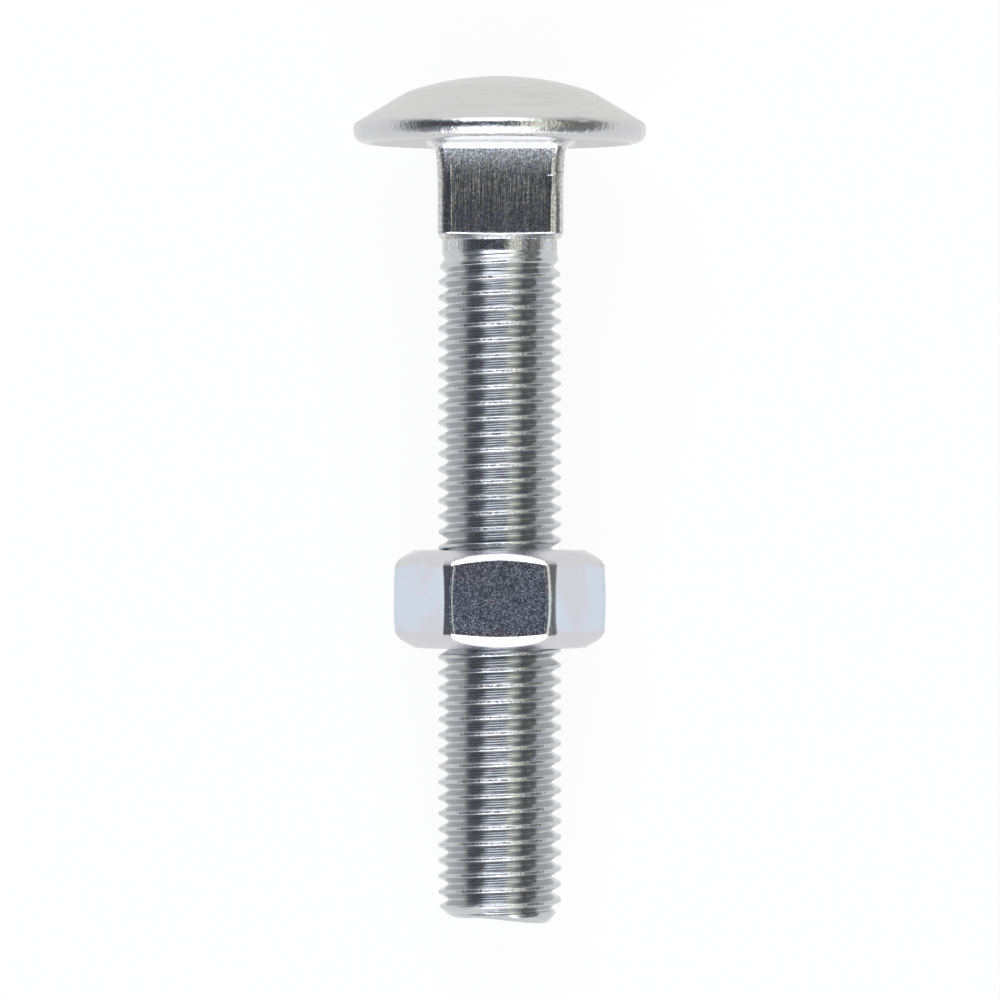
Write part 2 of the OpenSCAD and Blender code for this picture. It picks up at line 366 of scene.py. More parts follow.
@dataclass
class CarriageBolt:
    """The bolt: cup head, square neck, plain band, rolled thread and sheared point in one shell.

    All sizes are in millimetres and angles in degrees, as in the part's source. The waves of an
    uneven surface are two factors on the coordinates of its ripple.
    """

    head_d: float = 37.5
    head_h: float = 8.6
    crown_r: float = 36.0
    flank_angle: float = 31.0
    blend_r: float = 8.0
    rim_h: float = 1.9
    rim_top_r: float = 1.0
    rim_low_r: float = 1.6
    outline_steps: tuple[int, int, int, int, int] = (26, 6, 4, 7, 9)
    nick_side: float = 33.6
    nick_lift: float = 28.0
    nick_depth: float = 0.11
    nick_spread: float = 10.0
    nick_gather: float = 6.5
    under_shares: tuple[float, ...] = (0.12, 0.3, 0.5, 0.7, 0.86, 0.96)
    neck_side: float = 15.85
    neck_offset: float = 0.1
    neck_h: float = 11.7
    neck_corner_r: float = 1.5
    neck_fillet_r: float = 0.9
    neck_draft: float = 0.5
    neck_draft_h: float = 6.0
    neck_bevel_h: float = 0.65
    fillet_levels: int = 8
    neck_level_h: float = 0.2
    last_level: float = 0.15
    fold: ForgingFold = ForgingFold()
    ridge: float = 0.04
    ridge_bell: Span = (0.1, 0.07)
    ridge_start: Span = (1.0, 3.0)
    flat_gaps: tuple[float, ...] = (1.0, 0.72, 0.48, 0.3, 0.16, 0.078, 0.046, 0.03, 0.0155)
    bevel: Profile = ((0.0, 0.0), (0.03, 0.12), (0.12, 0.28), (0.86, 0.86), (0.97, 0.95), (1.0, 1.06))
    shank_d: float = 14.7
    band_h: float = 1.35
    band_levels: int = 7
    profile: Profile = (
        (0.0, 7.85), (0.13, 7.848), (0.2, 7.825), (0.25, 7.77), (0.3, 7.685),
        (0.755, 6.897), (0.82, 6.785), (0.9, 6.69), (1.0, 6.65),
    )
    thread_d: float = 15.7
    thread_end: float = 100.2
    runout_h: float = 5.0
    run: float = 0.03
    run_waves: Span = (7.0, 0.4)
    run_fade: Span = (2.0, 9.0)
    seam: float = 0.02
    seam_w: float = 0.05
    seam_waves: float = 26.0
    seam_gaps: Span = (0.2, 1.2)
    crest_swell: float = 0.01
    crest_waves: Span = (13.0, 2.0)
    crest_reach: float = 0.3
    crest_mask_w: float = 0.22
    tip_r: float = 6.1
    tip_h: float = 1.75
    tip_depth: float = 98.75
    tip_fall: float = 0.84
    tip_fall_span: Span = (-3.7, 6.6)
    tip_lip: float = 0.13
    tip_lip_span: Span = (2.0, 5.0)
    tip_bow: float = 1.7
    tip_cut: float = 0.8
    tip_cut_side: Span = (0.2, 0.9)
    tip_cut_start: Span = (0.05, 0.45)
    cap_shares: tuple[float, ...] = (1.0, 0.97, 0.9, 0.78, 0.62, 0.45, 0.28, 0.12, 0.0)
    cap_hollow: float = 0.12
    cap_ridge: float = 0.05
    cap_waves: Span = (0.12, 0.35)
    dome_start: Span = (0.1, 0.75)
    under_mask: float = 0.8
    fillet_highlight_end: Span = (0.7, 1.15)
    fillet_highlight_side: Span = (6.4, 7.2)
    band_masks: tuple[float, float, float] = (0.8, 0.45, 0.12)
    crest_share: float = 0.15
    columns: int = 112
    corner_columns: int = 10
    turned: np.ndarray = field(init=False)
    angles: np.ndarray = field(init=False)
    thread_top: float = field(init=False)

    def __post_init__(self) -> None:
        """Works out how far each column is turned from the back of the bolt, in degrees, its
        angle from the x direction in radians, and the depth at which the thread begins."""
        self.turned = np.arange(self.columns) * 360.0 / self.columns
        self.angles = np.radians(self.turned + 90)
        self.thread_top = self.neck_h + self.neck_bevel_h + self.band_h

    def head_outline(self) -> np.ndarray:
        """Outline of the head from its pole to the inner edge of the face under it.

        It is the crown's arc, a blend tangent to crown and flank, the straight flank and the
        rounded rim: the blend's centre lies blend_r inside the flank and crown_r - blend_r from
        the crown's centre.

        Returns:
            Radii and heights, points by 2.
        """
        head_r = self.head_d / 2
        fall = math.radians(self.flank_angle)
        normal = np.array([math.sin(fall), math.cos(fall)])
        down = np.array([math.cos(fall), -math.sin(fall)])
        top_c = np.array([head_r - self.rim_top_r, self.rim_h])
        low_c = np.array([head_r - self.rim_low_r, self.rim_low_r])
        crown_c = np.array([0, self.head_h - self.crown_r])
        reach = normal @ (top_c - crown_c) + self.rim_top_r - self.blend_r
        to_blend = reach * normal - math.sqrt((self.crown_r - self.blend_r) ** 2 - reach**2) * down
        blend_from = math.degrees(math.atan2(to_blend[1], to_blend[0]))
        crown_steps, blend_steps, flank_steps, top_steps, low_steps = self.outline_steps
        crown = arc(crown_c, self.crown_r, 90, blend_from, crown_steps)
        blend = arc(crown_c + to_blend, self.blend_r, blend_from, 90 - self.flank_angle, blend_steps)[1:]
        rim_top = arc(top_c, self.rim_top_r, 90 - self.flank_angle, 0, top_steps)
        t = np.linspace(0, 1, flank_steps + 1)[1:-1, None]
        flank = blend[-1] + t * (rim_top[0] - blend[-1])
        rim_low = arc(low_c, self.rim_low_r, 0, -90, low_steps)
        return np.concatenate([crown, blend, flank, rim_top, rim_low])

    def head_rows(self) -> np.ndarray:
        """Levels of the head, with the nick on its rim.

        The columns gather at the nick: each is turned by -gather u exp(-u^2 / 2), with u its
        distance from the nick in units of the spread. The nick is a plane cut: what stands
        further out along the nick's direction than its plane is moved back to it.

        Returns:
            Points, rows by columns by 3.
        """
        u = (self.turned - 180 - self.nick_side) / self.nick_spread
        a = np.radians(self.turned - self.nick_gather * u * np.exp(-(u**2) / 2) + 90)
        outline = self.head_outline()
        rows = polar(outline[:, :1], a, outline[:, 1:])
        side, lift = math.radians(self.nick_side - 90), math.radians(self.nick_lift)
        way = np.array([math.cos(side) * math.cos(lift), math.sin(side) * math.cos(lift), math.sin(lift)])
        reach = rows @ way
        over = np.clip(reach - (reach.max() - self.nick_depth), 0, None)
        return rows - over[..., None] * way

    def square_ring(self, side: float, ridge: float = 0.0) -> np.ndarray:
        """A square with rounded corners, with columns gathered at the corners.

        Each quarter runs from the middle of one flat along the flat, round the corner's arc and
        along the next flat. The columns of a flat stand closest at its ends, where the ridge is.

        Args:
            side: Width across the flats.
            ridge: Height of the fine ridge at the ends of the flats.

        Returns:
            Points x and y, columns by 2, from the middle of the back flat.
        """
        run = side / 2 - self.neck_corner_r
        gap = np.array(self.flat_gaps)
        out = side / 2 + ridge * bell(gap * run, *self.ridge_bell)
        first = np.stack([out, run * (1 - gap)], 1)
        bow = arc((run, run), self.neck_corner_r, 0, 90, self.corner_columns)
        rest = np.stack([run * (1 - gap[:0:-1]), out[:0:-1]], 1)
        piece = np.concatenate([first, bow, rest])
        rings = []
        for q in range(4):
            a = math.radians(90 + 90 * q)
            rings.append(piece @ np.array([[math.cos(a), math.sin(a)], [-math.sin(a), math.cos(a)]]))
        return np.concatenate(rings)

    def neck_flare(self, depth: float) -> float:
        """How much wider than its flats the neck is on each side: a fillet's arc plus a draft
        that runs out with the square of the depth."""
        inside = min(max(self.neck_fillet_r - depth, 0), self.neck_fillet_r)
        fillet = self.neck_fillet_r - math.sqrt(self.neck_fillet_r**2 - inside**2)
        return fillet + self.neck_draft * min(max(1 - depth / self.neck_draft_h, 0), 1) ** 2

    def neck_level(self, depth: float) -> np.ndarray:
        """One level of the neck: the square with its flare, ridges and fold.

        Args:
            depth: Depth of the level.

        Returns:
            Points, columns by 3.
        """
        ridge = self.ridge * float(smooth(depth, *self.ridge_start))
        ring = self.fold.shift(self.square_ring(self.neck_side + 2 * self.neck_flare(depth), ridge), depth)
        return np.column_stack([ring + [self.neck_offset, 0], np.full(self.columns, -depth)])

    def neck_rows(self) -> np.ndarray:
        """Levels of the neck from the face under the head to the plain band."""
        fillet = (1 - np.cos(np.linspace(0, math.pi / 2, self.fillet_levels))) * self.neck_fillet_r
        start, end = self.neck_fillet_r + self.neck_level_h, self.neck_h - self.last_level
        flats = np.arange(start, end, self.neck_level_h)
        depths = np.sort(np.concatenate([fillet, flats, np.arange(*self.fold.levels)]))
        rows = [self.neck_level(float(depth)) for depth in depths]
        square = self.square_ring(self.neck_side)
        reach = np.linalg.norm(square, axis=1)
        for pull, t in self.bevel:
            radius = reach + pull * (self.shank_d / 2 - reach)
            level = np.full(self.columns, -self.neck_h - t * self.neck_bevel_h)
            ring = square * (radius / reach)[:, None] + [self.neck_offset * (1 - pull), 0]
            rows.append(np.column_stack([ring, level]))
        return np.array(rows)

    def band_rows(self) -> np.ndarray:
        """Levels of the plain band, where the columns turn back to even steps round the axis."""
        square = self.square_ring(self.neck_side)
        start = np.unwrap(np.arctan2(square[:, 1], square[:, 0]))
        top = self.neck_h + self.bevel[-1][1] * self.neck_bevel_h
        t = np.linspace(0, 1, self.band_levels + 1)[1:, None]
        depth = top + t * (self.thread_top - top)
        return polar(self.shank_d / 2, start + t * (self.angles - start), -depth)

    def end_depth(self, x: np.ndarray) -> np.ndarray:
        """Depth of the sheared end at a distance x to the right: it falls from left to right in
        one smooth step of tip_fall, and hangs over a little at the far left."""
        fall = self.tip_fall * smooth(x, *self.tip_fall_span)
        return self.tip_depth + fall + self.tip_lip * smooth(-x, *self.tip_lip_span)

    def thread_rows(self) -> tuple[np.ndarray, np.ndarray, int]:
        """The helical rows of the thread.

        A row has a fixed place in the thread's profile, and its depth falls by one pitch for each
        turn of the columns. Its radius is shank + rise * (profile - shank), cut by the rounded
        point, and its depth is held between the plain band and the sheared end. The crests have
        a fine broken seam in the middle.

        Returns:
            The rows, the crest mask, and the number of rows in a pitch.
        """
        top, a = self.thread_top, self.angles
        crest, place, radius, per_pitch = helix(self.profile, top, self.thread_end)
        drop = PITCH * self.turned / 360
        spot = crest / PITCH - self.turned / 360
        fade = 1 - smooth(crest - drop - top, *self.run_fade)
        run = self.run * fade * ripple(spot * self.run_waves[0], place * self.run_waves[1], Seed.THREAD_RUN)
        depth = crest + place + run - drop
        gaps = smooth(ripple(spot * self.seam_waves, 0.3, Seed.CREST_SEAM), *self.seam_gaps)
        radius = radius - self.seam * bell(place, 0.0, self.seam_w) * gaps
        swell = ripple(spot * self.crest_waves[0], place * self.crest_waves[1], Seed.CREST_EDGE)
        radius = radius + self.crest_swell * swell * (np.abs(place) < self.crest_reach)
        base = self.shank_d / 2
        start_rise = np.sin(np.pi / 2 * np.clip((depth - top) / self.runout_h, 0, 1))
        radius = base + start_rise * (radius - base)
        end = self.end_depth(np.minimum(radius, self.tip_r) * np.cos(a))
        nip = np.clip((depth - (end - self.tip_h)) / self.tip_h, 0, 1)
        widest = self.thread_d / 2 + self.seam
        limit = self.tip_r + (widest - self.tip_r) * (1 - nip**self.tip_bow)
        cut = smooth(np.cos(a), *self.tip_cut_side) * smooth(nip, *self.tip_cut_start) * (1 - nip)
        radius = np.minimum(radius, limit - self.tip_cut * cut)
        depth = np.clip(depth, top, end)
        radius = np.where(depth <= top, base, radius)
        return polar(radius, a, -depth), bell(place, 0.0, self.crest_mask_w) * start_rise, per_pitch

    def cap_rows(self) -> np.ndarray:
        """Rings of the sheared end from its edge to the middle, slightly hollow and ridged."""
        t = np.array(self.cap_shares)[:, None]
        x, y = self.tip_r * t * np.cos(self.angles), self.tip_r * t * np.sin(self.angles)
        ridges = ripple(x * self.cap_waves[0], y * self.cap_waves[1], Seed.SHEARED_END) * (1 - t**4)
        depth = self.end_depth(x) - self.cap_hollow * (1 - t**2) + self.cap_ridge * ridges
        return np.stack([x, y, -depth], -1)

    def shell(self) -> Shell:
        """Stacks all the rows of the bolt, from the pole of the head to the middle of the point."""
        head, neck, band, cap = self.head_rows(), self.neck_rows(), self.band_rows(), self.cap_rows()
        under = np.array([head[-1] + t * (neck[0] - head[-1]) for t in self.under_shares])
        thread, crest_mask, per_pitch = self.thread_rows()
        dome = smooth(head[..., 2] - self.rim_h, *self.dome_start)
        # Painted highlight: the fillet under the head, on the front and back flats, is marked to be
        # lightened in the colour.
        highlight_and_crest = (1 - smooth(-neck[..., 2], *self.fillet_highlight_end)) * (
            1 - smooth(np.abs(neck[..., 0]), *self.fillet_highlight_side)
        )
        above = [
            (head, {Zone.DOME: dome}),
            (under, {Zone.DOME: self.under_mask}),
            (neck, {Zone.NECK: 1.0, Zone.HIGHLIGHT_AND_CREST: highlight_and_crest}),
            (band, dict(zip((Zone.NECK, Zone.THREAD, Zone.HIGHLIGHT_AND_CREST), self.band_masks))),
        ]
        # The crests' weak share in the fourth channel stays below the painted highlight's step and only
        # drives their relief.
        below = [(thread, {Zone.THREAD: 1.0, Zone.HIGHLIGHT_AND_CREST: crest_mask * self.crest_share}), (cap, {})]
        points, zones = stack(above + below)
        start = sum(len(rows) for rows, _ in above)
        shift = np.zeros(len(points), int)
        shift[start : start + len(thread)] = np.minimum(np.arange(len(thread)), per_pitch)
        around = np.linspace(0, math.pi * self.thread_d, self.columns + 1)
        return Shell(points, around, zones, shift)

    def make(self, lie: Lie, finish: BoltZinc) -> bpy.types.Object:
        """Builds the bolt, dresses it and lets it ride on its body.

        Args:
            lie: How the bolt lies in the row frame.
            finish: Its finish.

        Returns:
            The bolt's object.
        """
        bolt = self.shell().build("bolt_forged", lie)
        bolt.data.materials.append(finish.material(lie))
        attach(bolt, "bolt")
        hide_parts("carriage_bolt")
        return bolt


@dataclass
class HexNut:
    """The hexagon nut, bevelled on both faces, with its real internal thread.

    All sizes are in millimetres and angles in degrees, as in the part's source. A cut is how far
    a corner reaches along its flats at the faces and at half height, and the radius of its edges,
    or zeros where the corner is worn round.
    """

    flats: float = 23.75
    height: float = 12.5
    place: float = 52.0
    worn_r: float = 1.8
    worn_middle_r: float = 0.95
    cuts: tuple[tuple[float, float, float], ...] = (
        (0.0, 0.0, 0.0), (0.8, 0.6, 0.5), (0.85, 0.65, 0.6),
        (0.0, 0.0, 0.0), (0.8, 0.52, 0.4), (1.15, 0.86, 1.3),
    )
    corner_columns: int = 5
    ridge: float = 0.045
    ridge_bell: Span = (0.17, 0.14)
    flat_steps: tuple[float, ...] = (
        0.0, 0.005, 0.01, 0.015, 0.021, 0.03, 0.045, 0.08, 0.14, 0.21, 0.3, 0.4, 0.5,
    )
    side_rows: int = 14
    fullness: float = 2.3
    face_d: float = 21.9
    face_shares: tuple[float, ...] = (0.0, 0.04, 0.3, 0.65)
    face_round: Span = (0.12, 0.08)
    bevel_angle: float = 30.0
    cone_share: float = 0.68
    edge_steps: int = 3
    shoulder_steps: int = 7
    flat_drops: Span = (0.05, 0.16)
    upper_start: Span = (1.33, 1.94)
    lower_start: Span = (1.57, 1.95)
    upper_lean: Span = (13.0, 26.0)
    lower_lean: Span = (18.0, 30.0)
    # A darker mottled band along the face edges, on the front and back flats only.
    dark_band_start: Span = (0.12, 0.3)
    dark_band_end: Span = (0.5, 0.85)
    dark_band_foot: Span = (0.4, 0.75)
    dark_band_side: Span = (0.85, 0.96)
    sink_r: float = 8.95
    profile: Profile = ((0.0, 8.02), (0.15, 8.02), (0.22, 7.96), (0.77, 7.0), (0.82, 6.95), (1.0, 6.95))

    def corner(self, side: int, middle: float) -> tuple[np.ndarray, float]:
        """One corner of the hexagon: two arcs of 30 degrees, tangent to the flats beside it.

        On a worn corner the two have one centre and make a single arc. Elsewhere the corner is cut
        off square to its diagonal, and the arcs round the two edges of the cut.

        Args:
            side: Number of the corner, from the right.
            middle: 0 at the faces and 1 at half height.

        Returns:
            Points x and y, and how far along its flats the corner reaches.
        """
        face_reach, middle_reach, radius = self.cuts[side]
        reach = face_reach + middle * (middle_reach - face_reach)
        if not radius:
            radius = self.worn_r + middle * (self.worn_middle_r - self.worn_r)
            reach = radius * math.tan(HEX_HALF)
        tip = np.array([self.flats / 2 / math.cos(HEX_HALF), 0.0])
        halves = []
        for way in (-1, 1):
            normal = np.array([math.cos(HEX_HALF), way * math.sin(HEX_HALF)])
            along = np.array([-math.sin(HEX_HALF), way * math.cos(HEX_HALF)])
            centre = tip + reach * along - radius * normal
            halves.append(arc(centre, radius, min(30 * way, 0), max(30 * way, 0), self.corner_columns))
        a = math.radians(60 * side)
        turn = np.array([[math.cos(a), math.sin(a)], [-math.sin(a), math.cos(a)]])
        return np.concatenate(halves) @ turn, reach

    def section(self, middle: float) -> np.ndarray:
        """Outline of the hexagon, corner by corner from the right.

        A flat is the line n . p = flats / 2 less the height of the fine ridges at its ends.

        Args:
            middle: 0 at the faces and 1 at half height, where the corners are fuller.

        Returns:
            Points x and y, columns by 2, from the middle of the back flat.
        """
        half = self.flats / 2
        side_half = half * math.tan(HEX_HALF)
        corners = [self.corner(side, middle) for side in range(6)]
        steps = np.array(self.flat_steps)
        share = np.concatenate([steps, 1 - steps[-2::-1]])[1:-1]
        pieces = []
        for side, (points, reach) in enumerate(corners):
            a = math.radians(60 * side) + HEX_HALF
            normal = np.array([math.cos(a), math.sin(a)])
            aside = np.array([-normal[1], normal[0]])
            low, high = reach - side_half, side_half - corners[(side + 1) % 6][1]
            run = low + share * (high - low)
            end = np.minimum(run - low, high - run)
            out = half - self.ridge * (1 - bell(end, *self.ridge_bell))
            pieces += [points, out[:, None] * normal + run[:, None] * aside]
        ring = np.concatenate(pieces)
        turn = np.argmin(np.abs(np.degrees(np.arctan2(ring[:, 1], ring[:, 0])) - 90))
        return np.roll(ring, -turn, axis=0)

    def half_profile(self, reach: np.ndarray, start: Span, lean: Span) -> np.ndarray:
        """Radius and drop from one face for each column: face, cone and the round into the flat.

        The cone is z = slope (r - face_r). The round is a quadratic curve from two thirds down
        the cone to the start of the flat, which it meets at the given lean.

        Args:
            reach: Radius of the hexagon at each column.
            start: Drop at which the flat starts, in the middle of a flat and at a corner.
            lean: Angle from the axis at which the round meets the flat, likewise.

        Returns:
            Array of rows by columns by 2, radius and drop.
        """
        face_r = self.face_d / 2
        slope = math.tan(math.radians(self.bevel_angle))
        corner = (reach - self.flats / 2) / (reach.max() - self.flats / 2)
        drop = start[0] + corner * (start[1] - start[0])
        pull = np.tan(np.radians(lean[0] + corner * (lean[1] - lean[0])))
        turn_r = (reach - pull * drop - pull * slope * face_r) / (1 - pull * slope)

        def spot(r: np.ndarray | float, z: np.ndarray | float) -> np.ndarray:
            """One row of radii and drops."""
            return np.stack(np.broadcast_arrays(r, z, reach)[:2], -1)

        def on_cone(r: np.ndarray | float) -> np.ndarray:
            """One row on the cone."""
            return spot(r, slope * (r - face_r))

        face = [spot(self.sink_r + t * (face_r - self.sink_r), 0) for t in self.face_shares]
        inner, outer = self.face_round
        edge = bend(spot(face_r - inner, 0), spot(face_r, 0), on_cone(face_r + outer), self.edge_steps)
        half_r = face_r + self.cone_share * (turn_r - face_r)
        shoulder = bend(on_cone(half_r), on_cone(turn_r), spot(reach, drop), self.shoulder_steps)
        return np.concatenate([face, edge, shoulder, [spot(reach, drop + t) for t in self.flat_drops]])

    def bore_rows(self, turned: np.ndarray) -> tuple[np.ndarray, int]:
        """The helical rows of the internal thread, from the lower face up to the upper face.

        A row keeps its place in the profile and falls by one pitch a turn. Its radius is the
        profile's, or the countersink's where that is wider: sink_r less the distance from a face.

        Args:
            turned: Degrees from the back for each column.

        Returns:
            The rows, and the number of rows in a pitch.
        """
        crest, place, radius, per_pitch = helix(self.profile, self.place, self.place + self.height)
        depth = crest + place - PITCH * turned / 360
        inside = np.clip(depth - self.place, 0, self.height)
        sink = self.sink_r - np.minimum(inside, self.height - inside)
        rows = polar(np.maximum(radius, sink), np.radians(turned + 90), -self.place - inside)
        return rows[::-1], per_pitch

    def shell(self) -> Shell:
        """Stacks the rows of the nut in a closed loop: bore, upper face, sides and lower face."""
        ring = self.section(0.0)
        reach = np.linalg.norm(ring, axis=1)
        way = ring / reach[:, None]
        turned = (np.degrees(np.arctan2(ring[:, 1], ring[:, 0])) - 90) % 360
        turned[0] = 0
        upper = self.half_profile(reach, self.upper_start, self.upper_lean)
        lower = self.half_profile(reach, self.lower_start, self.lower_lean)[::-1]
        top, low = -self.place, -self.place - self.height
        upper = np.concatenate([upper[..., :1] * way, top - upper[..., 1:]], -1)
        lower = np.concatenate([lower[..., :1] * way, low + lower[..., 1:]], -1)
        side = []
        for t in np.linspace(0, 1, self.side_rows + 2)[1:-1]:
            level = upper[-1, :, 2:] + t * (lower[0, :, 2:] - upper[-1, :, 2:])
            side.append(np.concatenate([self.section(1 - abs(2 * t - 1) ** self.fullness), level], 1))
        bore, per_pitch = self.bore_rows(turned)
        front = smooth(np.abs(way[:, 1]), *self.dark_band_side)
        bands = [(bore, {Zone.THREAD: 1.0}), (upper, {}), (np.array(side), {}), (lower, {})]
        # The second channel marks a darker band near the face edges of the front and back flats.
        for rows, masks in (bands[1], bands[3]):
            down, up = top - rows[..., 2], rows[..., 2] - low
            head_edge = smooth(down, *self.dark_band_start) * (1 - smooth(down, *self.dark_band_end))
            foot = 1 - smooth(up, *self.dark_band_foot)
            masks.update({Zone.DOME: 1.0, Zone.NECK: np.maximum(head_edge, foot) * front})
        points, zones = stack(bands)
        shift = np.zeros(len(points), int)
        shift[: len(bore)] = -np.minimum(np.arange(len(bore))[::-1], per_pitch)
        around = np.radians(np.append(turned, 360)) * self.flats / 2
        return Shell(points, around, zones, shift, ring=True)

    def make(self, lie: Lie, finish: NutZinc) -> bpy.types.Object:
        """Builds the nut, dresses it and lets it ride on its body.

        Args:
            lie: How the bolt lies in the row frame.
            finish: Its finish.

        Returns:
            The nut's object.
        """
        nut = self.shell().build("nut_hexagon", lie)
        nut.data.materials.append(finish.material(lie))
        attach(nut, "nut")
        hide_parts("hex_nut")
        return nut


@dataclass(frozen=True)
class Grain:
    """A noise pattern on the metal.

    Attributes:
        scale: Spots a millimetre.
        detail: Number of finer layers of spots.
        rough: Strength of each finer layer.
        stretch: Factors by which the place is scaled first, where the pattern has a direction.
    """

    scale: float
    detail: float
    rough: float
    stretch: tuple[float, float, float] | None = None


class Recipe:
    """Adds and joins the shader nodes of one node tree.

    Attributes:
        tree: The node tree that is written.
    """

    def __init__(self, tree: bpy.types.NodeTree) -> None:
        """Starts with an empty tree."""
        self.tree = tree
        tree.nodes.clear()

    @classmethod
    def of_material(cls, name: str) -> tuple[bpy.types.Material, Recipe]:
        """Makes a material, and the recipe that writes its nodes."""
        material = bpy.data.materials.new(name)
        material.use_nodes = True
        return material, cls(material.node_tree)

    def add(self, kind: str, inputs: Inputs | None = None, **settings: object) -> bpy.types.Node:
        """Adds one node.

        Args:
            kind: Blender's name of the node type.
            inputs: Constants or sockets for its inputs, by name or number.
            **settings: Attributes of the node.

        Returns:
            The new node.
        """
        node = self.tree.nodes.new(kind)
        for name, value in settings.items():
            setattr(node, name, value)
        for name, value in (inputs or {}).items():
            self.feed(node.inputs[name], value)
        return node

    def feed(self, target: Link, value: Value) -> None:
        """Joins a socket to an input, or sets the input's constant."""
        if isinstance(value, bpy.types.NodeSocket):
            self.tree.links.new(value, target)
        else:
            target.default_value = value

    def math(self, operation: str, *values: Value, clamp: bool = False) -> Link:
        """Adds a Math node and returns its result."""
        inputs = dict(enumerate(values))
        return self.add("ShaderNodeMath", inputs, operation=operation, use_clamp=clamp).outputs[0]

    def product(self, *values: Value) -> Link:
        """Multiplies the values and returns the product."""
        return reduce(lambda first, second: self.math("MULTIPLY", first, second), values)

    def plus(self, total: Value, *values: Value) -> Link:
        """Adds the product of the values to a total and returns the sum."""
        return self.math("ADD", self.product(*values), total)

    def swing(self, pattern: Link, size: float) -> Link:
        """Turns a pattern of 0 to 1 into one about zero: size * (pattern - 0.5)."""
        return self.product(self.math("SUBTRACT", pattern, 0.5), size)

    def blend(self, share: Value, first: Value, second: Value, way: str = "MIX") -> Link:
        """Mixes two colours by a share and returns the colour."""
        inputs = {0: share, 6: first, 7: second}
        node = self.add("ShaderNodeMix", None, data_type="RGBA", blend_type=way, clamp_factor=True)
        for number, value in inputs.items():
            self.feed(node.inputs[number], value)
        return node.outputs[2]

    def shaded(self, share: Value, colour: Link, shade: Link) -> Link:
        """Multiplies a colour by a shade where the share says so."""
        return self.blend(share, colour, self.blend(1.0, colour, shade, "MULTIPLY"))

    def span(self, value: Value, low: float, high: float, start: float = 0.0, end: float = 1.0) -> Link:
        """Smooth step of a value from start at low to end at high."""
        inputs = {0: value, 1: low, 2: high, 3: start, 4: end}
        return self.add("ShaderNodeMapRange", inputs, interpolation_type="SMOOTHSTEP").outputs[0]

    def noise(self, place: Link, grain: Grain) -> Link:
        """Adds a noise texture and returns its value."""
        if grain.stretch:
            place = self.add("ShaderNodeMapping", {"Vector": place, "Scale": grain.stretch}).outputs[0]
        inputs = {"Vector": place, "Scale": grain.scale, "Detail": grain.detail, "Roughness": grain.rough}
        return self.add("ShaderNodeTexNoise", inputs).outputs[0]

    def bolt_space(self, lie: Lie) -> Link:
        """Object coordinates turned into the bolt's own frame, in millimetres."""
        matrix = lie.matrix()
        turn = math.atan2(matrix[2, 1], matrix[2, 2])
        shift = tuple(-(matrix @ lie.seat) / MM)
        source = self.add("ShaderNodeTexCoord").outputs["Object"]
        inputs = {"Vector": source, "Rotation": (turn, 0.0, 0.0), "Scale": (1 / MM,) * 3, "Location": shift}
        return self.add("ShaderNodeMapping", inputs).outputs[0]

    def zones(self) -> tuple[Link, Link, Link, Link]:
        """Reads the masks of the four zones."""
        zone = self.add("ShaderNodeAttribute", attribute_name="zone")
        split = self.add("ShaderNodeSeparateColor", {0: zone.outputs["Color"]})
        return *split.outputs, zone.outputs["Alpha"]

    def metal(self, colour: Link, rough: Link, height: Link) -> None:
        """Joins a metal surface to the output.

        Args:
            colour: Its base colour.
            rough: Its roughness.
            height: Its relief in millimetres.
        """
        bump = self.add("ShaderNodeBump", {"Strength": 1.0, "Distance": MM, "Height": height})
        inputs = {"Base Color": colour, "Metallic": 1.0, "Roughness": rough, "Normal": bump.outputs[0]}
        shader = self.add("ShaderNodeBsdfPrincipled", inputs)
        self.add("ShaderNodeOutputMaterial", {"Surface": shader.outputs[0]})


